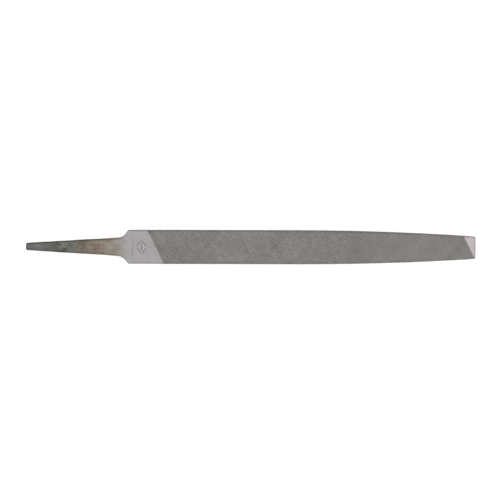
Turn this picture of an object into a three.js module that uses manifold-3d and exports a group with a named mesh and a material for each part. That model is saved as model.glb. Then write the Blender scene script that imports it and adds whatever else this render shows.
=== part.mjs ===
// A 200 mm flat file with a bare tang, as it leaves the works: one forged and hardened
// piece of tool steel, tapered towards its point, with its two faces and its two edges cut.
//
// Millimetres. +X runs from the tang to the point, +Y across the width, and +Z up from the
// bench that the file lies on. The origin is at the middle of the bounding box's lower face.
// The four cut areas are plain pads at the level of the tooth tips, which stand a little
// proud of the ground steel at the heel and at the point.

import * as THREE from "three";
import { mergeVertices } from "three/addons/utils/BufferGeometryUtils.js";
import Module from "manifold-3d";

// Driving dimensions.
const BODY_LENGTH = 200; // from the shoulder to the point, the size that a file is named by
const TANG_LENGTH = 59;
const BODY_WIDTH = 19.75; // over the edge teeth, along the parallel part
const BODY_THICKNESS = 5; // over the face teeth, along the parallel part
const POINT_WIDTH = 13;
const POINT_THICKNESS = 3.7;
const TAPER_START = 97; // from the shoulder, where the edges begin to close in along an arc
const THINNING_START = 135; // from the shoulder, where the faces begin to close in, straight
const TEETH_PROUD = 0.12; // of the tooth tips above the ground steel

const TANG_END_WIDTH = 4.25;
const TANG_END_THICKNESS = 2.2;
const TANG_ROOT_WIDTH = 11.2; // where the tang's sides, carried on, would reach the shoulder
const SHOULDER_CORNER = 0.6; // radius, seen from above, where each shoulder meets its edge

// Each shoulder is an arc out of the tang's side and a straight ramp up to its corner. The
// two were forged by hand and aren't quite alike: +Y has the first one, -Y the second.
const LEFT_SHOULDER = { radius: 4, ramp: THREE.MathUtils.degToRad(56) };
const RIGHT_SHOULDER = { radius: 6, ramp: THREE.MathUtils.degToRad(52) };

const CHISEL_ANGLE = THREE.MathUtils.degToRad(64); // of the cut's end lines to the length
const HEEL_CLEAR = 16; // uncut length at the heel, along the middle of a face
const POINT_CLEAR = 3.8; // uncut length at the point, along the middle of a face
const EDGE_HEEL_CLEAR = 17; // uncut length of each edge at the heel
const EDGE_POINT_CLEAR = 1;

const TANG_CORNER = 0.6; // radius along the tang's four long corners
const BODY_CORNER = 0.35; // radius along the body's four long corners
const TANG_END_BEVEL = 0.4;
const POINT_BEVEL = 0.25;

// A place along the file is s, its distance from the shoulder, negative on the tang.
const SHOULDER_X = (TANG_LENGTH - BODY_LENGTH) / 2;
const MIDDLE_Z = BODY_THICKNESS / 2;
const SHOULDER_START = -6.6; // by here both of the shoulders' arcs have left the tang's sides
const SHOULDER_END = 0.6; // and by here both of their corners have met the body's edges

const SHOULDER_STEPS = 36;
const TAPER_STEPS = 20;
const CORNER_STEPS = 3;
const OVERSIZE = 2; // how far a cutting prism runs past what it cuts

const wasm = await Module();
wasm.setup();

// Half the thickness of the ground steel.
function halfThickness(s) {
  const full = BODY_THICKNESS / 2 - TEETH_PROUD;
  const thinned = POINT_THICKNESS / 2 - TEETH_PROUD;
  if (s > THINNING_START)
    return THREE.MathUtils.mapLinear(s, THINNING_START, BODY_LENGTH, full, thinned);
  if (s >= 0) return full;
  return THREE.MathUtils.mapLinear(s, -TANG_LENGTH, 0, TANG_END_THICKNESS / 2, full);
}

// Half the body's width over the ground steel.
function halfBody(s) {
  const full = BODY_WIDTH / 2 - TEETH_PROUD;
  const drop = (BODY_WIDTH - POINT_WIDTH) / 2;
  const run = Math.max(0, s - TAPER_START);
  const whole = BODY_LENGTH - TAPER_START;
  const radius = (whole ** 2 + drop ** 2) / (2 * drop);
  return full - (radius - Math.sqrt(radius ** 2 - run ** 2));
}

// The distance from the centreline to one side of the ground steel, by the shoulder there.
function halfWidth({ radius, ramp }, s) {
  const full = halfBody(0);
  const cornerEnd = SHOULDER_CORNER * Math.tan(ramp / 2);
  if (s >= cornerEnd) return halfBody(s);
  if (s > cornerEnd - SHOULDER_CORNER * Math.sin(ramp))
    return full - SHOULDER_CORNER + Math.sqrt(SHOULDER_CORNER ** 2 - (cornerEnd - s) ** 2);

  // The arc's centre is a radius away from the tang's side and from the ramp.
  const slope = (TANG_ROOT_WIDTH - TANG_END_WIDTH) / 2 / TANG_LENGTH;
  const steep = Math.tan(ramp);
  const aboveTang = TANG_ROOT_WIDTH / 2 + radius * Math.hypot(1, slope);
  const aboveRamp = full + radius * Math.hypot(1, steep);
  const centre = (aboveTang - aboveRamp) / (steep - slope);
  const along = s - centre;
  if (along > radius * Math.sin(ramp)) return full + steep * s;
  if (along > radius * Math.sin(Math.atan(slope)))
    return aboveTang + slope * centre - Math.sqrt(radius ** 2 - along ** 2);
  return TANG_ROOT_WIDTH / 2 + slope * s;
}

// Every place between two ends that a section is needed at, in order.
function stations(first, last) {
  const places = [first, THINNING_START, last];
  for (let i = 0; i <= SHOULDER_STEPS; i++) {
    places.push(THREE.MathUtils.lerp(SHOULDER_START, SHOULDER_END, i / SHOULDER_STEPS));
  }
  for (let i = 0; i < TAPER_STEPS; i++) {
    places.push(THREE.MathUtils.lerp(TAPER_START, BODY_LENGTH, i / TAPER_STEPS));
  }
  return [...new Set(places)].filter((s) => s >= first && s <= last).sort((a, b) => a - b);
}

// One section's outline as [y, z] pairs, anticlockwise when seen from the point: a box from
// -right to left, and as high as half each way, with its corners rounded.
function section(left, right, half, corner) {
  const points = [];
  const centres = [
    [left - corner, half - corner, 0],
    [corner - right, half - corner, 1],
    [corner - right, corner - half, 2],
    [left - corner, corner - half, 3],
  ];
  for (const [y, z, quarter] of centres) {
    for (let i = 0; i <= CORNER_STEPS; i++) {
      const angle = (quarter + i / CORNER_STEPS) * (Math.PI / 2);
      points.push([y + corner * Math.cos(angle), z + corner * Math.sin(angle)]);
    }
  }
  return points;
}

// A closed surface through a row of sections, each { s, points }.
function loft(sections) {
  const count = sections[0].points.length;
  const corners = sections.flatMap(({ s, points }) =>
    points.flatMap(([y, z]) => [SHOULDER_X + s, y, MIDDLE_Z + z]),
  );
  const triangles = [];
  for (let ring = 0; ring + 1 < sections.length; ring++) {
    for (let i = 0; i < count; i++) {
      const a = ring * count + i;
      const b = ring * count + ((i + 1) % count);
      triangles.push(a, b, b + count, a, b + count, a + count);
    }
  }
  const last = (sections.length - 1) * count;
  for (let i = 1; i + 1 < count; i++) {
    triangles.push(0, i + 1, i, last, last + i, last + i + 1);
  }
  const geometry = new THREE.BufferGeometry();
  geometry.setAttribute("position", new THREE.Float32BufferAttribute(corners, 3));
  geometry.setIndex(triangles);
  return geometry;
}

function toSolid(geometry) {
  const bare = geometry.clone();
  bare.deleteAttribute("normal");
  bare.deleteAttribute("uv");
  const merged = mergeVertices(bare, 1e-5);
  return new wasm.Manifold(
    new wasm.Mesh({
      numProp: 3,
      vertProperties: merged.attributes.position.array,
      triVerts: new Uint32Array(merged.index.array),
    }),
  );
}

function toGeometry(solid) {
  const mesh = solid.getMesh();
  const geometry = new THREE.BufferGeometry();
  geometry.setAttribute("position", new THREE.BufferAttribute(mesh.vertProperties, 3));
  geometry.setIndex(new THREE.BufferAttribute(mesh.triVerts, 1));
  const faceted = geometry.toNonIndexed();
  faceted.computeVertexNormals();
  return faceted;
}

// The ground steel, from the end of the tang to the point, with both ends bevelled.
function groundSteel() {
  const ends = { [-TANG_LENGTH]: TANG_END_BEVEL, [BODY_LENGTH]: POINT_BEVEL };
  const places = stations(-TANG_LENGTH, BODY_LENGTH);
  places.push(TANG_END_BEVEL - TANG_LENGTH, BODY_LENGTH - POINT_BEVEL);
  places.sort((a, b) => a - b);
  const sections = places.map((s) => {
    const bevel = ends[s] ?? 0;
    const onBody = THREE.MathUtils.smoothstep(s, SHOULDER_START, 0);
    const corner = THREE.MathUtils.lerp(TANG_CORNER, BODY_CORNER, onBody);
    const left = halfWidth(LEFT_SHOULDER, s) - bevel;
    const right = halfWidth(RIGHT_SHOULDER, s) - bevel;
    return { s, points: section(left, right, halfThickness(s) - bevel, corner) };
  });
  return toSolid(loft(sections));
}

// A plain box section that follows the body from one place to another. It stands wider and
// higher than the ground steel by the two amounts given, or narrower where one is negative.
function band(first, last, wider, higher) {
  const sections = stations(first, last).map((s) => {
    const y = halfWidth(LEFT_SHOULDER, s) + wider;
    const z = halfThickness(s) + higher;
    return { s, points: [[y, z], [-y, z], [-y, -z], [y, -z]] };
  });
  return toSolid(loft(sections));
}

// The prism over one face between the cut's two slanting end lines. side is 1 for the upper
// face and -1 for the lower one, which is the same cut with the file turned over.
function cutZone(side) {
  const reach = BODY_WIDTH / 2 + OVERSIZE;
  const slant = (side * reach) / Math.tan(CHISEL_ANGLE);
  const heel = SHOULDER_X + HEEL_CLEAR;
  const point = SHOULDER_X + BODY_LENGTH - POINT_CLEAR;
  const plan = new THREE.Shape();
  plan.moveTo(heel + slant, -reach);
  plan.lineTo(point + slant, -reach);
  plan.lineTo(point - slant, reach);
  plan.lineTo(heel - slant, reach);
  plan.closePath();
  const height = MIDDLE_Z + OVERSIZE;
  const prism = new THREE.ExtrudeGeometry(plan, { depth: height, bevelEnabled: false });
  prism.translate(0, 0, side > 0 ? MIDDLE_Z : MIDDLE_Z - height);
  return toSolid(prism);
}

// The pads that hold the face teeth, clear of the body's rounded corners.
function facePads() {
  const pads = band(SHOULDER_END, BODY_LENGTH, -BODY_CORNER, TEETH_PROUD);
  return pads.intersect(cutZone(1).add(cutZone(-1)));
}

// The two strips that hold the edge teeth.
function edgePads() {
  return band(EDGE_HEEL_CLEAR, BODY_LENGTH - EDGE_POINT_CLEAR, TEETH_PROUD, -BODY_CORNER);
}

const steel = new THREE.MeshStandardMaterial({
  color: 0x8f8d8a,
  roughness: 0.42,
  metalness: 1,
});

const solid = groundSteel().add(facePads()).add(edgePads());
const flatFile = new THREE.Mesh(toGeometry(solid), steel);
flatFile.name = "flat_file";

const part = new THREE.Group();
part.add(flatFile);

export default part;
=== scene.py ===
"""The looks of a 200 mm flat file with a bare tang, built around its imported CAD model.

The ground steel is lofted through sections measured from the CAD file. Pads are added where
the real file is cut, and the teeth are cut into them with one solid cutter for each face and
each edge, as the chisel cut them. Everything is in metres, in the CAD frame: +X from the
tang to the point, +Z up from the floor.
"""

import math

import bmesh
import bpy
import numpy as np
from mathutils import Matrix, Vector, noise
from mathutils.bvhtree import BVHTree


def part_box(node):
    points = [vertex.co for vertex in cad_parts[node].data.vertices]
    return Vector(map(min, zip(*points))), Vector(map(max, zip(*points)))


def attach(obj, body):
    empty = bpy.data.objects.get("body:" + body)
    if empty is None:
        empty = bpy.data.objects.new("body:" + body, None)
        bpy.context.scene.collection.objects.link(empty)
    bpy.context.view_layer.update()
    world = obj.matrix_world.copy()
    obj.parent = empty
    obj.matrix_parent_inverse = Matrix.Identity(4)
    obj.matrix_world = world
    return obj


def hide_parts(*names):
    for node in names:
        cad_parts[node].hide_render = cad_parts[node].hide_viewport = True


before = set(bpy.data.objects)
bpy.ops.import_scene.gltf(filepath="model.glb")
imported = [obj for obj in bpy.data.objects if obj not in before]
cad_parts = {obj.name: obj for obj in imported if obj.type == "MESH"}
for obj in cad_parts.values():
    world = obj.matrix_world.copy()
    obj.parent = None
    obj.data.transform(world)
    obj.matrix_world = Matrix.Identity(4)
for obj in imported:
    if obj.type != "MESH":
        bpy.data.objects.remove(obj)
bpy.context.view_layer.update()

MM = 0.001
SEED = 7

# The blank. Each end is bevelled, and so the section there is a little smaller.
TANG_LENGTH = 59 * MM
TANG_BEVEL = 0.4 * MM
POINT_BEVEL = 0.25 * MM
TANG_CORNER = 0.6 * MM  # radius along the tang's four long corners
BODY_CORNER = 0.35 * MM  # radius along the body's four long corners
SHOULDER_LENGTH = 6.6 * MM  # of the two arcs that lead from the tang to the body
TANG_CELL = 0.5 * MM  # between the sections along the tang
SHOULDER_CELL = 0.2 * MM
BODY_CELL = 5 * MM
ACROSS_CELLS = 10  # across each level side of a section
SIDE_CELLS = 4  # up each of its other two sides
CORNER_STEPS = 5
RIM = 1.2 * MM  # width of the strip along each side that is darkened with painted shade
RIGHT_RIM = 0.5  # how much of it there is on the right, compared with the left: the painted shade is weaker on the right
END_RIM = 1.3 * MM  # width of the darker strip at either end

# The forging of the tang: a long swell, and the shallow dents of the hammer. The swell is
# lowered by a share of its height, so that most of it lies below the plain tang's surface.
FORGED_FADE = 10 * MM  # length over which it comes in, from the shoulder on
SWELL = {"wave": 7 * MM, "height": 0.12 * MM, "lowered": 0.25}
DENTS = {"wave": 2.2 * MM, "height": 0.03 * MM}

# The pads that the teeth are cut in. They slope down at their long sides.
PAD_SPARE = 0.05 * MM  # height above the tooth tips, which the cutters take away
PAD_SINK = 0.1 * MM  # how far the foot of the slope lies inside the ground steel
PAD_FOOT = 0.15 * MM  # from the foot of the slope to the side
PAD_TOP = 0.5 * MM  # from the top of the slope to the side
PAD_ROWS = 60  # sections along a pad
PAD_ROUNDS = 4  # of working out where a slanting end line meets a side that isn't straight
UPWARD = Vector((0, 0, 1 * MM))  # these grow a sheet into a solid
OUTWARD = Vector((0, 1 * MM, 0))

# The cut. Pitches are measured square to their rows of teeth.
UPCUT_PITCH = 0.93 * MM
UPCUT_DEPTH = 0.36 * MM
UPCUT_CREST = 0.78  # how far along its pitch a tooth is highest, so it faces the point
OVERCUT_PITCH = 0.98 * MM
OVERCUT_DEPTH = 0.26 * MM
OVERCUT_FLANK = 0.3  # half the width of an overcut groove, as a share of its pitch
OVERCUT_ANGLE = math.radians(50)  # to the length, and leaning the other way from the upcut
EDGE_PITCH = 0.98 * MM
EDGE_DEPTH = 0.32 * MM
EDGE_CREST = 0.7
EDGE_LEAN = math.radians(25)  # of the edge teeth, away from upright
TIP_CLEARANCE = 0.01 * MM  # takes all of the pad away, so that no sliver of it is left
JITTER = 0.12  # how unlike each other two blows of the chisel are, as a share of the size
LINE_JITTER = JITTER / 2  # of a whole valley or groove, from one side of the face to the other
PLACE_JITTER = JITTER / 3  # of a crest's place, and of an edge tooth's
RUN_OUT = 0.35 * MM  # length of the slope at either end of the cut
RUN_OUT_RISE = RUN_OUT / 3  # and how far above the tips that slope ends

# The stamp on the heel, a plain mark: a column of short bars and a lozenge. Their places are
# distances from the shoulder.
STAMP_DEPTH = 0.15 * MM
STAMP_FLOOR = 0.04 * MM  # width at the bottom of a bar's groove
STAMP_TOP = 0.34 * MM  # and where it meets the face
STAMP_RISE = 0.05 * MM  # of the cutter above the face
COLUMN = {"place": 2.6 * MM, "bars": 8, "pitch": 1.45 * MM, "length": 0.9 * MM}
LOZENGE = {"place": 7.6 * MM, "half_length": 3 * MM, "half_width": 4 * MM, "gap": 0.7 * MM}

SHARP = math.radians(34)  # edges that turn more than this aren't shaded smooth

# The texture's layout.
TEXTURE_SIZE = 140 * MM  # what the texture covers each way
FACE_STRIP = 21 * MM  # width of each strip of it that holds half of a face
EDGE_STRIP = 6.5 * MM  # and half of an edge
LEVEL = 0.3  # how far up or down a normal points, at the least, on one of the two faces

# Colours of the bare metal. HEAT runs from 0 at the tang's end to 1 at the shoulder.
HEAT = {
    0.04: (0.124, 0.132, 0.117),
    0.16: (0.146, 0.15, 0.136),
    0.26: (0.118, 0.122, 0.106),
    0.34: (0.096, 0.101, 0.075),
    0.41: (0.165, 0.163, 0.155),
    0.49: (0.152, 0.143, 0.125),
    0.57: (0.148, 0.127, 0.095),
    0.66: (0.205, 0.163, 0.138),
    0.77: (0.25, 0.213, 0.164),
    0.88: (0.29, 0.262, 0.232),
    1.0: (0.402, 0.387, 0.398),
}
STRAW_COLOUR = (0.26, 0.2, 0.12, 1)  # along the sides of the tang, near the shoulder
STRAW_BEGINS = (0.6, 0.72)  # on the scale of HEAT
STRAW_ENDS = (0.86, 0.95)
POINT_COLOUR = (0.5, 0.462, 0.468, 1)  # of the bare steel beyond the cut
POINT_FADE = 10 * MM  # length over which the heel's colour gives way to it
CUT = {0.0: (0.24, 0.229, 0.217), 1.0: (0.11, 0.105, 0.098)}  # from the tips to the valleys, which are darker with painted shade

# How fine the noise is, in features per metre along each axis.
PATCHES = (170, 330, 330)  # of the scale on the tang
SPOTS = (450, 700, 700)
GRAIN = (1500, 1500, 1500)
LINES = (60, 5000, 5000)  # that grinding leaves along the file
CUT_GRAIN = (2500, 2500, 2500)
CUT_PATCHES = (900, 900, 900)  # about as big as a tooth
CUT_WEAR = (90, 160, 160)
WIDE = (0.3, 0.7)  # two ranges of values that noise mostly keeps to
NARROW = (0.35, 0.65)

# How much the noise changes the colour of the tang.
WANDER = 0.12  # how far it moves the bands of colour, on the scale of HEAT
MOTTLE = 0.13  # how much the patches lighten or darken the colour, as a share of it
BLOTCHES = 0.1  # and how much the spots do
CALMER = (0.8, 1)  # where all this dies away, on the scale of HEAT
HEEL_SHARE = 0.1  # what is left of it at the heel and beyond

# Shades multiply a colour. These follow the noise.
GRAIN_SHADES = (0.97, 1.03)
LINE_SHADES = (0.94, 1.06)
CUT_PATCH_SHADES = (0.84, 1.2)
CUT_WEAR_SHADES = (0.96, 1.08)

# And these darken the sides and whatever isn't level, as painted shade, and darken a strip at
# either end.
RIM_SHADE = 0.58
CUT_RIM_SHADE = 0.6
RIM_FULL = 0.7  # the value of rim at which those two are reached
TANG_SHADE_RIM = (0.2, 0.8)  # the values of rim over which painted shade darkens the tang once more
TANG_SHADE_LOSS = 0.45  # the share of the colour that it takes away
# Painted shade on the rounded corners, the sides and other slopes.
SLOPE_SHADE = 0.4
SLOPE_FULL = 0.03  # the value of tilt at which it is reached
TANG_END_SHADE = 0.7
POINT_END_SHADE = 0.72

GROUND_ROUGHNESS = (0.29, 0.39)
CUT_ROUGHNESS = (0.42, 0.56)
GROUND_BUMP = 0.006 * MM
CUT_BUMP = 0.01 * MM

# The stage and the camera.
FLOOR_REACH = 3  # from the middle to each side
FLOOR_COLOUR = (0.9, 0.9, 0.9, 1)
WORLD_STRENGTH = 0.5
LIGHT_PLACE = 1.1  # height of the four lights, and their distance from the middle
LIGHT_SIZE = 1.2
LIGHT_ENERGY = 15
FILE_SHARE = 0.9  # of the picture's width, which the file takes up
LENS = 200  # focal length and sensor width are in millimetres
SENSOR = 36
CAMERA_PLACE = (-0.35 * MM, -1.67 * MM)  # x and y
CAMERA_ROLL = math.radians(0.16)

NODE = "flat_file"
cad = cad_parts[NODE]
low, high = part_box(NODE)
middle_z = (low.z + high.z) / 2
shoulder_x = low.x + TANG_LENGTH


# What the CAD file measures, found with rays.

cad_surface = BVHTree.FromObject(cad, bpy.context.evaluated_depsgraph_get())
SCAN = 0.05 * MM  # from one ray to the next
SCAN_Y = 4 * MM  # either side of the centreline, and well inside the heel and the point
HAIR = 0.001 * MM  # keeps clear of the very ends


def top_at(x, y=0):
    """Height of the upper surface there."""
    return cad_surface.ray_cast(Vector((x, y, high.z + MM)), Vector((0, 0, -1)))[0].z


def side_at(x, way=1):
    """Distance from the centreline to the left side half way up, or the right if way is -1."""
    start = Vector((x, way * (high.y + MM), middle_z))
    return abs(cad_surface.ray_cast(start, Vector((0, -way, 0)))[0].y)


def biggest_step(measure, first, last, sign):
    """Where measure rises most sharply between two places, or falls if sign is -1."""
    x = np.arange(first, last, SCAN)
    steps = np.diff([measure(value) for value in x])
    return x[np.argmax(sign * steps)] + SCAN / 2


heel_left = biggest_step(lambda x: top_at(x, SCAN_Y), shoulder_x, 0, 1)
heel_right = biggest_step(lambda x: top_at(x, -SCAN_Y), shoulder_x, 0, 1)
point_left = biggest_step(lambda x: top_at(x, SCAN_Y), 0, high.x - MM, -1)
edge_start = biggest_step(side_at, shoulder_x + MM, 0, 1)
edge_stop = biggest_step(side_at, 0, high.x - MM, -1)
slant = (heel_right - heel_left) / (2 * SCAN_Y)  # of the cut's end lines, along for across
heel_middle = (heel_left + heel_right) / 2
point_middle = point_left + slant * SCAN_Y
proud = top_at(heel_middle + SCAN) - top_at(heel_middle - SCAN)  # of the tips above the steel


def spaced(first, last, cell):
    """Places from first to last, evenly spaced and no further apart than a cell."""
    return np.linspace(first, last, math.ceil((last - first) / cell) + 1)


stations = np.unique(np.concatenate([
    [low.x],
    spaced(low.x + TANG_BEVEL, shoulder_x - SHOULDER_LENGTH, TANG_CELL),
    spaced(shoulder_x - SHOULDER_LENGTH, shoulder_x + MM, SHOULDER_CELL),
    spaced(shoulder_x + MM, high.x - POINT_BEVEL, BODY_CELL),
    [high.x],
]))
measured = np.clip(stations, low.x + HAIR, high.x - HAIR)
padded = (heel_middle < stations) & (stations < point_middle)
edge_padded = (edge_start < stations) & (stations < edge_stop)
steel_half = np.array([top_at(x) for x in measured]) - middle_z - proud * padded
steel_left = np.array([side_at(x) for x in measured]) - proud * edge_padded
steel_right = np.array([side_at(x, -1) for x in measured]) - proud * edge_padded


def half_height(x):
    """Half the thickness of the ground steel."""
    return np.interp(x, stations, steel_half)


def half_width(x):
    """Distance from the centreline to the left side of the ground steel."""
    return np.interp(x, stations, steel_left)


def tip_height(x):
    """Height of the tooth tips of the upper face."""
    return middle_z + half_height(x) + proud


def tip_side(x):
    """Distance of the tooth tips of the left edge from the centreline."""
    return half_width(x) + proud


# Solids. A sheet has the shape of one side of a pad or of what a cut leaves, and a solid is
# grown from it.

def new_object(name, vertices, faces):
    """A mesh object in the scene, with no material yet."""
    mesh = bpy.data.meshes.new(name)
    mesh.from_pydata(np.asarray(vertices).tolist(), [], faces)
    mesh.update()
    obj = bpy.data.objects.new(name, mesh)
    bpy.context.scene.collection.objects.link(obj)
    return obj


def grow_solid(name, vertices, faces, growth):
    """The closed solid between a sheet and its copy, moved by growth to its front side."""
    used = sorted({v for face in faces for v in face})
    index = {v: i for i, v in enumerate(used)}
    base = np.asarray(vertices)[used]
    count = len(base)
    sheet = [[index[v] for v in face] for face in faces]
    edges = {edge for face in sheet for edge in zip(face, face[1:] + face[:1])}
    border = sorted((a, b) for a, b in edges if (b, a) not in edges)
    walls = [[a, b, b + count, a + count] for a, b in border]
    lid = [[v + count for v in face] for face in sheet]
    closed = [face[::-1] for face in sheet] + lid + walls
    return new_object(name, np.concatenate([base, base + growth]), closed)


def turn_over(solid):
    """Moves a pad or cutter to the opposite side of the file, by half a turn about its length."""
    to_middle = Matrix.Translation((0, 0, middle_z))
    half_turn = Matrix.Rotation(math.pi, 4, "X")
    solid.data.transform(to_middle @ half_turn @ to_middle.inverted())
    return solid


def grid_faces(rows, columns):
    """The quads of a grid whose vertices come row by row."""
    corner = np.arange(rows * columns).reshape(rows, columns)
    quads = [corner[:-1, :-1], corner[1:, :-1], corner[1:, 1:], corner[:-1, 1:]]
    return np.stack(quads, axis=-1).reshape(-1, 4).tolist()


# The blank.

def smooth_step(value):
    """Eases from 0 to 1 as value goes from 0 to 1."""
    value = np.clip(value, 0, 1)
    return value * value * (3 - 2 * value)


def ring(left, right, half, corner):
    """One section as (y, z) pairs, anticlockwise when seen from the point, with z from the
    middle of the thickness. Its level sides have a narrow strip along either end."""
    start, stop, top = left - corner, corner - right, half - corner
    strip = min(RIM - corner, (start - stop) / 4)
    across = np.linspace(start - strip, stop + strip, ACROSS_CELLS + 1)
    level = [start, *across, stop]
    upright = np.linspace(top, -top, SIDE_CELLS + 1)

    def arc(y, z, quarter):
        angles = (quarter + np.arange(1, CORNER_STEPS) / CORNER_STEPS) * math.pi / 2
        return [(y + corner * math.cos(a), z + corner * math.sin(a)) for a in angles]

    return [
        *arc(start, top, 0), *[(y, half) for y in level],
        *arc(stop, top, 1), *[(-right, z) for z in upright],
        *arc(stop, -top, 2), *[(y, -half) for y in reversed(level)],
        *arc(start, -top, 3), *[(left, z) for z in reversed(upright)],
    ]


def ground_blank():
    """The ground steel, from the end of the tang to the point."""
    sharpened = smooth_step((stations - shoulder_x) / SHOULDER_LENGTH + 1)
    corners = TANG_CORNER + (BODY_CORNER - TANG_CORNER) * sharpened
    rings = [ring(*sizes) for sizes in zip(steel_left, steel_right, steel_half, corners)]
    count = len(rings[0])
    vertices = [(x, y, middle_z + z) for x, points in zip(stations, rings) for y, z in points]
    faces = [list(range(count))[::-1], list(range(len(vertices) - count, len(vertices)))]
    for first in range(0, len(vertices) - count, count):
        for i in range(count):
            a, b = first + i, first + (i + 1) % count
            faces.append([a, b, b + count, a + count])
    return new_object("cut_file", vertices, faces)


def forge(blank):
    """Makes the tang slightly uneven, as forging leaves it. Its end stays where it is."""
    vertices = blank.data.vertices
    normals = [normal.vector.copy() for normal in blank.data.vertex_normals]
    for vertex, normal in zip(vertices, normals):
        fade = float(smooth_step((shoulder_x - vertex.co.x) / FORGED_FADE))
        swell = SWELL["height"] * (noise.noise(vertex.co / SWELL["wave"]) - SWELL["lowered"])
        dents = DENTS["height"] * noise.noise(vertex.co / DENTS["wave"])
        vertex.co.yz += normal.yz * fade * (swell + dents)


def face_pad(name):
    """The raised steel that the upper face is cut in, between the two ends of the cut."""
    along = np.linspace(0, 1, PAD_ROWS)[:, None]
    way = np.array([-1, -1, 1, 1])
    inset = np.array([PAD_FOOT, PAD_TOP, PAD_TOP, PAD_FOOT])
    y = way * high.y + 0 * along
    for _ in range(PAD_ROUNDS):
        x = heel_middle + (point_middle - heel_middle) * along - slant * y
        y = way * (half_width(x) - inset)
    steel = middle_z + half_height(x)
    z = np.where(inset == PAD_FOOT, steel - PAD_SINK, steel + proud + PAD_SPARE)
    faces = [face[::-1] for face in grid_faces(PAD_ROWS, len(way))]
    vertices = np.column_stack([x.ravel(), y.ravel(), z.ravel()])
    return grow_solid(name, vertices, faces, -UPWARD)


def edge_pad(name):
    """The raised steel that the left edge is cut in, with both ends leaning as the teeth do."""
    along = np.linspace(edge_start, edge_stop, PAD_ROWS)[:, None]
    way = np.array([1, 1, -1, -1])
    inset = np.array([PAD_FOOT, PAD_TOP, PAD_TOP, PAD_FOOT])
    z = way * (half_height(along) - inset)
    x = along + math.tan(EDGE_LEAN) * z
    y = half_width(x) + np.where(inset == PAD_FOOT, -PAD_SINK, proud + PAD_SPARE)
    faces = [face[::-1] for face in grid_faces(PAD_ROWS, len(way))]
    vertices = np.column_stack([x.ravel(), y.ravel(), middle_z + z.ravel()])
    return grow_solid(name, vertices, faces, -OUTWARD)


# Cutters.

def face_lattice():
    """The lattice of the cut of the upper face, in which each cell holds one tooth.

    A place in it is (a, b), counted in rows of upcut towards the point and in overcut grooves
    towards the left. The result is the numbers of rows and grooves, the pitch of the rows,
    and a function that takes arrays of a and b to x and y.
    """
    upcut_angle = math.atan2(1, slant)
    across_rows = np.array([math.sin(upcut_angle), math.cos(upcut_angle)])
    across_grooves = np.array([-math.sin(OVERCUT_ANGLE), math.cos(OVERCUT_ANGLE)])
    start = across_rows @ (heel_left, SCAN_Y)
    length = across_rows @ (point_left, SCAN_Y) - start
    rows = round(length / UPCUT_PITCH)
    pitch = length / rows
    reach = math.ceil(np.abs(across_grooves) @ (high.x, high.y) / OVERCUT_PITCH)
    matrix = np.linalg.inv([across_rows / pitch, across_grooves / OVERCUT_PITCH])

    def to_xy(a, b):
        return matrix @ np.array([(a + start / pitch).ravel(), (b - reach).ravel()])

    return rows, 2 * reach, pitch, to_xy


def tooth_points(rng, rows, grooves, run_out):
    """The seven points of every cell, as arrays of a, of b and of depth under the tooth tips.

    They are the upcut's valley, the overcut groove's floor behind and in front of the crest,
    the crest's two ends, and the tops of the slopes at the heel and at the point.
    """
    def vary(*shape, spread=JITTER):
        return rng.normal(0, spread, shape)

    i = np.arange(rows + 1)[:, None] + np.zeros(grooves + 1)
    j = np.arange(grooves + 1) + np.zeros((rows + 1, 1))
    valley = i + vary(rows + 1, 1, spread=LINE_JITTER)
    valley[[0, -1]] = i[[0, -1]]
    valley_depth = UPCUT_DEPTH * (1 + vary(rows + 1, 1, spread=LINE_JITTER)) + 0 * j
    groove = j + vary(1, grooves + 1, spread=LINE_JITTER)
    groove_depth = OVERCUT_DEPTH * (1 + vary(1, grooves + 1)) + 0 * i
    crest = i + UPCUT_CREST + vary(*i.shape, spread=PLACE_JITTER)
    crest_depth = UPCUT_DEPTH * np.abs(vary(*i.shape)) + TIP_CLEARANCE
    flanks = OVERCUT_FLANK * (1 + vary(2, *i.shape))

    next_valley, next_depth = np.roll(valley, -1, 0), np.roll(valley_depth, -1, 0)
    next_groove = np.roll(groove, -1, 1)
    back = valley + (crest - valley) * (1 - groove_depth / valley_depth)
    front = next_valley - (next_valley - crest) * (1 - groove_depth / next_depth)
    above_face = 0 * j - RUN_OUT_RISE
    points = [
        (valley, groove, valley_depth),
        (back, groove, groove_depth),
        (front, groove, groove_depth),
        (crest, groove + flanks[0], crest_depth),
        (crest, next_groove - flanks[1], crest_depth),
        (valley - run_out, groove, above_face),
        (valley + run_out, groove, above_face),
    ]
    return np.moveaxis(np.array(points), 0, 1)


def tooth_faces(numbers, held):
    """The faces of the cells where held is true. numbers are those of the vertices, in arrays
    that come in the order of tooth_points."""
    valley, back, front, crest_low, crest_high, heel_top, point_top = numbers
    rows, grooves = held.shape

    def cells(*corners):
        columns = [kind[di:rows + di, dj:grooves + dj][held] for kind, di, dj in corners]
        return np.column_stack(columns).tolist()

    low_end, high_end = (crest_low, 0, 0), (crest_high, 0, 0)
    faces = cells(
        (valley, 0, 0), (back, 0, 0), low_end, high_end, (back, 0, 1), (valley, 0, 1)
    )
    faces += cells(
        (valley, 1, 0), (valley, 1, 1), (front, 0, 1), high_end, low_end, (front, 0, 0)
    )
    faces += cells((back, 0, 0), (front, 0, 0), low_end)
    faces += cells((back, 0, 1), high_end, (front, 0, 1))
    for k in np.flatnonzero(held[0]):
        faces.append([heel_top[0, k], valley[0, k], valley[0, k + 1], heel_top[0, k + 1]])
    for k in np.flatnonzero(held[-1]):
        faces.append([valley[-1, k], point_top[-1, k], point_top[-1, k + 1], valley[-1, k + 1]])
    return faces


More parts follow.
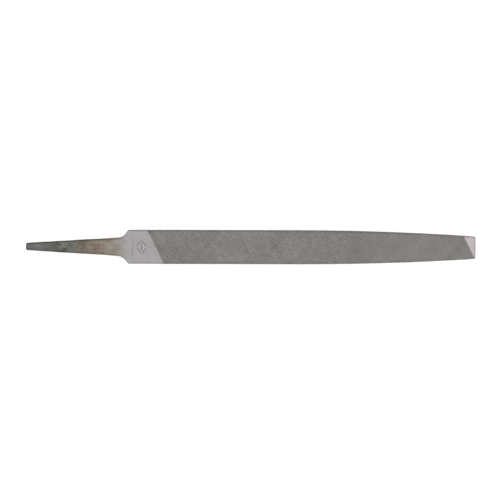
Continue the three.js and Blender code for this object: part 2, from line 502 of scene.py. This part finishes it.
def face_cutter(name, seed):
    """The cutter of one double-cut face: all that is above the teeth of the upper face."""
    rows, grooves, pitch, to_xy = face_lattice()
    rng = np.random.default_rng(seed)
    a, b, depth = tooth_points(rng, rows, grooves, RUN_OUT / pitch)
    x, y = to_xy(a, b)
    vertices = np.column_stack([x, y, tip_height(x) - depth.ravel()])
    crest_y = y.reshape(a.shape)[3, :rows, :grooves]  # at the first end of each tooth's crest
    held = np.abs(crest_y) < high.y + MM
    faces = tooth_faces(np.arange(a.size).reshape(a.shape), held)
    return grow_solid(name, vertices, faces, UPWARD)


def edge_cutter(name, seed):
    """The cutter of the left edge's single row of teeth, which all lean over to one side."""
    rng = np.random.default_rng(seed)
    rows = round((edge_stop - edge_start) / EDGE_PITCH)
    pitch = (edge_stop - edge_start) / rows
    row, at_crest = np.divmod(np.arange(2 * rows + 1), 2)
    x = edge_start + pitch * (row + at_crest * EDGE_CREST + rng.normal(0, PLACE_JITTER, row.shape))
    vary = rng.normal(0, JITTER, row.shape)
    depth = np.where(at_crest, EDGE_DEPTH * abs(vary) + TIP_CLEARANCE, EDGE_DEPTH * (1 + vary))
    x = np.concatenate([[x[0] - RUN_OUT], x, [x[-1] + RUN_OUT]])
    depth = np.pad(depth, 1, constant_values=-RUN_OUT_RISE)
    vertices = []
    for z in (low.z - MM, high.z + MM):
        lean = math.tan(EDGE_LEAN) * (z - middle_z)
        vertices += np.column_stack([x + lean, tip_side(x) - depth, 0 * x + z]).tolist()
    return grow_solid(name, vertices, grid_faces(2, len(x)), OUTWARD)


def stamp_bar(x, y, length, turn):
    """The corners of one bar: four on the groove's floor, and four just above the face."""
    floor = middle_z + half_height(x) - STAMP_DEPTH
    flare = (STAMP_TOP - STAMP_FLOOR) / 2 * (1 + STAMP_RISE / STAMP_DEPTH)
    along = np.array([math.cos(turn), math.sin(turn)])
    across = np.array([-along[1], along[0]])
    corners = []
    for z, grown in ((floor, 0), (floor + STAMP_DEPTH + STAMP_RISE, flare)):
        end = (length / 2 - flare + grown) * along
        side = (STAMP_FLOOR / 2 + grown) * across
        for move_x, move_y in (-end - side, end - side, end + side, side - end):
            corners.append((x + move_x, y + move_y, z))
    return corners


def stamp_cutter():
    """The stamp: a column of short bars, and a lozenge with one bar inside it."""
    half = (COLUMN["bars"] - 1) / 2
    bars = [
        (COLUMN["place"], COLUMN["pitch"] * (i - half), COLUMN["length"], 0)
        for i in range(COLUMN["bars"])
    ]
    place, a, b = LOZENGE["place"], LOZENGE["half_length"], LOZENGE["half_width"]
    side = math.hypot(a, b) - 2 * LOZENGE["gap"]
    for right, up in ((1, 1), (1, -1), (-1, 1), (-1, -1)):
        turn = -right * up * math.atan2(b, a)
        bars.append((place + right * a / 2, up * b / 2, side, turn))
    bars.append((place, 0, b, math.pi / 2))
    vertices, faces = [], []
    for x, y, length, turn in bars:
        first = len(vertices)
        vertices += stamp_bar(shoulder_x + x, y, length, turn)
        walls = [[i, (i + 1) % 4, (i + 1) % 4 + 4, i + 4] for i in range(4)]
        faces += [[first + i for i in face] for face in [[3, 2, 1, 0], [4, 5, 6, 7], *walls]]
    return new_object("stamp_cutter", vertices, faces)


# The file.

def combine(piece, tool, operation):
    """Adds tool to piece or cuts it out, and removes it. The new faces have tool's material."""
    modifier = piece.modifiers.new(tool.name, "BOOLEAN")
    modifier.operation = operation
    modifier.solver = "MANIFOLD"
    modifier.material_mode = "TRANSFER"
    modifier.object = tool
    bpy.context.view_layer.objects.active = piece
    bpy.ops.object.modifier_apply(modifier=modifier.name)
    bpy.data.objects.remove(tool)


def keep_biggest_body(mesh):
    """Removes the crumbs that two crossing cuts can leave at a corner."""
    bm = bmesh.new()
    bm.from_mesh(mesh)
    unseen, bodies = set(bm.verts), []
    while unseen:
        body, edge = set(), {unseen.pop()}
        while edge:
            body |= edge
            edge = {e.other_vert(v) for v in edge for e in v.link_edges} - body
        unseen -= body
        bodies.append(body)
    bodies.sort(key=len)
    for crumb in bodies[:-1]:
        bmesh.ops.delete(bm, geom=list(crumb), context="VERTS")
    bm.to_mesh(mesh)
    bm.free()


def read_all(items, name, width=1, kind=float):
    """One property of all vertices, faces or corners of a mesh, as an array."""
    values = np.empty(len(items) * width, kind)
    items.foreach_get(name, values)
    return values.reshape(-1, width) if width > 1 else values


def mark_surface(mesh):
    """Stores what the materials need. cut_depth is how deep in the cut a point is, from 0 at
    the tips to 1 at the valleys, rim rises from 0 to 1 across the strip along each side, and
    tilt is 0 on a level face and 1 on an upright one."""
    x, y, z = read_all(mesh.vertices, "co", 3).T
    below_face = tip_height(x) - middle_z - np.abs(z - middle_z)
    below_edge = tip_side(x) - np.abs(y)
    # cut_depth carries the painted shade down in the valleys of the cut.
    depth = np.clip(np.minimum(below_face, below_edge) / UPCUT_DEPTH, 0, 1)
    mesh.attributes.new("cut_depth", "FLOAT", "POINT").data.foreach_set("value", depth)
    # rim carries the painted shade along the sides, and the straw colour of the tang.
    left = 1 - (half_width(x) - y) / RIM
    right = 1 - (np.interp(x, stations, steel_right) + y) / RIM
    rim = np.clip(np.maximum(left, RIGHT_RIM * right), 0, 1)
    mesh.attributes.new("rim", "FLOAT", "POINT").data.foreach_set("value", rim)
    # tilt carries the painted shade on whatever isn't level.
    tilt = 1 - np.abs(read_all(mesh.polygons, "normal", 3)[:, 2])
    mesh.attributes.new("tilt", "FLOAT", "FACE").data.foreach_set("value", tilt)


def strip_middle(side, ahead):
    """The middle of one of four strips, in widths of a strip: 0.5, 1.5, 2.5 or 3.5. side is 1
    in the first two and -1 in the others, and ahead is true on the point's half of the file."""
    return 1.5 - side + ahead


def unfold(mesh):
    """Lays the texture out at one scale, in strips: the two faces and the two edges, each of
    them in two lengths, and last the two ends side by side."""
    corner_counts = read_all(mesh.polygons, "loop_total", kind=int)
    owner = np.repeat(np.arange(len(mesh.polygons)), corner_counts)
    x, y, z = read_all(mesh.vertices, "co", 3)[read_all(mesh.loops, "vertex_index", kind=int)].T
    centre_x = read_all(mesh.polygons, "center", 3)[owner, 0]
    _, normal_y, normal_z = read_all(mesh.polygons, "normal", 3)[owner].T
    ahead = centre_x > 0
    up, left = np.sign(normal_z), np.sign(normal_y)
    on_end = np.abs(centre_x) > high.x - HAIR
    on_face = np.abs(normal_z) > LEVEL
    u = np.where(ahead, x + BODY_CELL, x - low.x)
    face_v = up * y + FACE_STRIP * strip_middle(up, ahead)
    edge_v = 4 * FACE_STRIP - left * (z - middle_z) + EDGE_STRIP * strip_middle(left, ahead)
    end_u = np.where(ahead, y + 2 * FACE_STRIP, FACE_STRIP - y)
    end_v = z - middle_z + 4 * FACE_STRIP + EDGE_STRIP * 4.5
    u = np.where(on_end, end_u, u)
    v = np.select([on_end, on_face], [end_v, face_v], edge_v)
    layer = mesh.uv_layers.new(name="OFBake")
    layer.data.foreach_set("uv", np.column_stack([u, v]).ravel() / TEXTURE_SIZE)


# Materials.

def add_node(tree, kind, inputs, **settings):
    """A node with its settings and inputs, which are values or the sockets that feed them."""
    made = tree.nodes.new(kind)
    for name, value in settings.items():
        setattr(made, name, value)
    for name, value in inputs.items():
        if isinstance(value, bpy.types.NodeSocket):
            tree.links.new(value, made.inputs[name])
        else:
            made.inputs[name].default_value = value
    return made.outputs


def add_ramp(tree, factor, stops):
    """A colour ramp with its stops as {place: colour}."""
    outputs = add_node(tree, "ShaderNodeValToRGB", {"Fac": factor})
    elements = outputs[0].node.color_ramp.elements
    for _ in range(len(stops) - 2):
        elements.new(0.5)
    for element, (place, colour) in zip(elements, stops.items()):
        element.position = place
        element.color = (*colour, 1)
    return outputs["Color"]


def new_material(name):
    """A material, its node tree and the inputs of its shader."""
    material = bpy.data.materials.new(name)
    material.use_nodes = True
    return material, material.node_tree, material.node_tree.nodes["Principled BSDF"].inputs


def read_attribute(tree, name):
    return add_node(tree, "ShaderNodeAttribute", {}, attribute_name=name)["Fac"]


def add_noise(tree, place, stretch, detail=3, roughness=0.6):
    """Noise with that many features per metre along each axis."""
    scaled = add_node(
        tree, "ShaderNodeVectorMath", {0: place, 1: stretch}, operation="MULTIPLY"
    )["Vector"]
    return add_node(
        tree, "ShaderNodeTexNoise",
        {"Vector": scaled, "Scale": 1.0, "Detail": detail, "Roughness": roughness},
    )["Fac"]


def map_range(tree, value, source, target):
    """Takes value from one range of numbers to another."""
    inputs = {
        "Value": value, "From Min": source[0], "From Max": source[1],
        "To Min": target[0], "To Max": target[1],
    }
    return add_node(tree, "ShaderNodeMapRange", inputs)["Result"]


def calculate(tree, operation, *values):
    return add_node(
        tree, "ShaderNodeMath", dict(enumerate(values)), operation=operation
    )["Value"]


def mix_colours(tree, factor, first, second, blend="MIX"):
    """Goes from the first colour to the second as factor goes from 0 to 1."""
    inputs = {"Factor": factor, "A": first, "B": second}
    return add_node(
        tree, "ShaderNodeMix", inputs, data_type="RGBA", blend_type=blend
    )["Result"]


def apply_shades(tree, colour, *shades):
    """Multiplies a colour by each of some plain factors."""
    for shade in shades:
        grey = add_node(
            tree, "ShaderNodeCombineColor", {"Red": shade, "Green": shade, "Blue": shade}
        )["Color"]
        colour = mix_colours(tree, 1.0, colour, grey, "MULTIPLY")
    return colour


def add_bump(tree, surface, height, distance):
    bump = add_node(tree, "ShaderNodeBump", {"Height": height, "Distance": distance})["Normal"]
    tree.links.new(bump, surface["Normal"])


def heat_colour(tree, x, patches, rim):
    """The colour that tempering and grinding left at a place, and how uneven it is there."""
    along = map_range(tree, x, (low.x, shoulder_x), (0, 1))
    uneven = map_range(tree, along, CALMER, (1, HEEL_SHARE))
    wander = map_range(tree, patches, WIDE, (-WANDER, WANDER))
    colour = add_ramp(tree, calculate(tree, "MULTIPLY_ADD", wander, uneven, along), HEAT)
    at_point = map_range(tree, x, (point_left - POINT_FADE, point_left), (0, 1))
    colour = mix_colours(tree, at_point, colour, POINT_COLOUR)
    begun = map_range(tree, along, STRAW_BEGINS, (0, 1))
    not_ended = map_range(tree, along, STRAW_ENDS, (1, 0))
    straw = calculate(tree, "MULTIPLY", calculate(tree, "MULTIPLY", begun, not_ended), rim)
    return mix_colours(tree, straw, colour, STRAW_COLOUR), uneven


def forged_steel():
    """Ground steel at the heel and the point, and tempered scale along the tang, with painted
    shade along the sides and on whatever isn't level.
    """
    material, tree, surface = new_material("forged_steel")
    surface["Metallic"].default_value = 1
    place = add_node(tree, "ShaderNodeTexCoord", {})["Object"]
    patches = add_noise(tree, place, PATCHES, detail=5, roughness=0.65)
    spots = add_noise(tree, place, SPOTS, detail=4)
    grain = add_noise(tree, place, GRAIN)
    lines = add_noise(tree, place, LINES)
    rim = read_attribute(tree, "rim")
    tilt = read_attribute(tree, "tilt")
    x = add_node(tree, "ShaderNodeSeparateXYZ", {"Vector": place})["X"]
    heat, uneven = heat_colour(tree, x, patches, rim)

    def on_tang(change):
        """A shade that differs from 1 by this change on the tang, and by less at the heel."""
        return calculate(tree, "MULTIPLY_ADD", change, uneven, 1.0)

    colour = apply_shades(
        tree, heat,
        on_tang(map_range(tree, patches, NARROW, (-MOTTLE, MOTTLE))),
        on_tang(map_range(tree, spots, NARROW, (-BLOTCHES, BLOTCHES))),
        map_range(tree, grain, WIDE, GRAIN_SHADES),
        map_range(tree, lines, WIDE, LINE_SHADES),
        # More painted shade along the sides of the tang.
        on_tang(map_range(tree, rim, TANG_SHADE_RIM, (0, -TANG_SHADE_LOSS))),
        # Painted shade along the sides, less of it on the right.
        map_range(tree, rim, (0, RIM_FULL), (1, RIM_SHADE)),
        # Painted shade on whatever isn't level.
        map_range(tree, tilt, (0, SLOPE_FULL), (1, SLOPE_SHADE)),
        map_range(tree, x, (low.x, low.x + END_RIM), (TANG_END_SHADE, 1)),
        map_range(tree, x, (high.x - END_RIM, high.x), (1, POINT_END_SHADE)),
    )
    tree.links.new(colour, surface["Base Color"])
    tree.links.new(map_range(tree, grain, WIDE, GROUND_ROUGHNESS), surface["Roughness"])
    forging = map_range(tree, x, (shoulder_x - FORGED_FADE, shoulder_x), (1, 0))
    relief = add_node(
        tree, "ShaderNodeMix", {"Factor": forging, "A": lines, "B": grain}, data_type="FLOAT"
    )["Result"]
    add_bump(tree, surface, relief, GROUND_BUMP)
    return material


def cut_steel():
    """The cut: dull grey, with painted shade down in the valleys and along the sides."""
    material, tree, surface = new_material("cut_steel")
    surface["Metallic"].default_value = 1
    place = add_node(tree, "ShaderNodeTexCoord", {})["Object"]
    grain = add_noise(tree, place, CUT_GRAIN)
    patches = add_noise(tree, place, CUT_PATCHES, detail=4)
    wear = add_noise(tree, place, CUT_WEAR, detail=4)
    colour = apply_shades(
        # The cut's grey, with painted shade down in the valleys.
        tree, add_ramp(tree, read_attribute(tree, "cut_depth"), CUT),
        map_range(tree, patches, NARROW, CUT_PATCH_SHADES),
        map_range(tree, wear, NARROW, CUT_WEAR_SHADES),
        # Painted shade along the sides of the cut.
        map_range(tree, read_attribute(tree, "rim"), (0, RIM_FULL), (1, CUT_RIM_SHADE)),
    )
    tree.links.new(colour, surface["Base Color"])
    tree.links.new(map_range(tree, grain, WIDE, CUT_ROUGHNESS), surface["Roughness"])
    add_bump(tree, surface, grain, CUT_BUMP)
    return material


def set_shading(piece):
    """Smooth ground steel with crisp edges, and flat facets in the cut."""
    piece.data.shade_smooth()
    piece.data.set_sharp_from_angle(angle=SHARP)
    weighted = piece.modifiers.new("weighted_normals", "WEIGHTED_NORMAL")
    weighted.keep_sharp = True
    bpy.context.view_layer.objects.active = piece
    bpy.ops.object.modifier_apply(modifier=weighted.name)
    smooth = read_all(piece.data.polygons, "material_index", kind=int) == 0
    piece.data.polygons.foreach_set("use_smooth", smooth)


def make_file():
    """The whole file: the blank, then the pads, the cuts and the stamp."""
    piece = ground_blank()
    forge(piece)
    forged, cut = forged_steel(), cut_steel()
    piece.data.materials.append(forged)
    pads = [
        face_pad("upper_pad"),
        turn_over(face_pad("lower_pad")),
        edge_pad("left_pad"),
        turn_over(edge_pad("right_pad")),
    ]
    cutters = [
        face_cutter("upper_cutter", SEED),
        turn_over(face_cutter("lower_cutter", SEED + 1)),
        edge_cutter("left_cutter", SEED + 2),
        turn_over(edge_cutter("right_cutter", SEED + 3)),
    ]
    steps = [(pad, cut, "UNION") for pad in pads]
    steps += [(cutter, cut, "DIFFERENCE") for cutter in cutters]
    steps.append((stamp_cutter(), forged, "DIFFERENCE"))
    for tool, finish, operation in steps:
        tool.data.materials.append(finish)
        combine(piece, tool, operation)
    keep_biggest_body(piece.data)
    mark_surface(piece.data)
    unfold(piece.data)
    set_shading(piece)
    return piece


piece = make_file()
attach(piece, "root")
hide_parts(NODE)


# Stage, light and camera.

def add_light(name, place):
    """A square light that faces the middle of the floor."""
    data = bpy.data.lights.new(name, "AREA")
    data.energy = LIGHT_ENERGY
    data.size = LIGHT_SIZE
    light = bpy.data.objects.new(name, data)
    light.location = place
    light.rotation_euler = (-light.location).to_track_quat("-Z", "Y").to_euler()
    bpy.context.scene.collection.objects.link(light)


def make_stage():
    """A pale floor in plain soft light from all round."""
    reach = FLOOR_REACH
    corners = [(-reach, -reach, 0), (reach, -reach, 0), (reach, reach, 0), (-reach, reach, 0)]
    floor = new_object("floor", corners, [(0, 1, 2, 3)])
    material, _, surface = new_material("floor_paint")
    surface["Base Color"].default_value = FLOOR_COLOUR
    surface["Roughness"].default_value = 0.8
    surface["Specular IOR Level"].default_value = 0.2
    floor.data.materials.append(material)

    world = bpy.data.worlds.new("studio")
    world.use_nodes = True
    background = world.node_tree.nodes["Background"].inputs
    background["Color"].default_value = (1, 1, 1, 1)
    background["Strength"].default_value = WORLD_STRENGTH
    bpy.context.scene.world = world
    bpy.context.scene.view_settings.view_transform = "Standard"
    add_light("front_light", (0, -LIGHT_PLACE, LIGHT_PLACE))
    add_light("back_light", (0, LIGHT_PLACE, LIGHT_PLACE))
    add_light("left_light", (-LIGHT_PLACE, 0, LIGHT_PLACE))
    add_light("right_light", (LIGHT_PLACE, 0, LIGHT_PLACE))


def make_camera():
    """A camera that looks straight down on the file."""
    data = bpy.data.cameras.new("camera")
    data.sensor_width = SENSOR
    data.lens = LENS
    camera = bpy.data.objects.new("camera", data)
    distance = (high.x - low.x) / FILE_SHARE * LENS / SENSOR
    camera.location = (*CAMERA_PLACE, high.z + distance)
    camera.rotation_euler = (0, 0, CAMERA_ROLL)
    bpy.context.scene.collection.objects.link(camera)
    bpy.context.scene.camera = camera


make_stage()
make_camera()
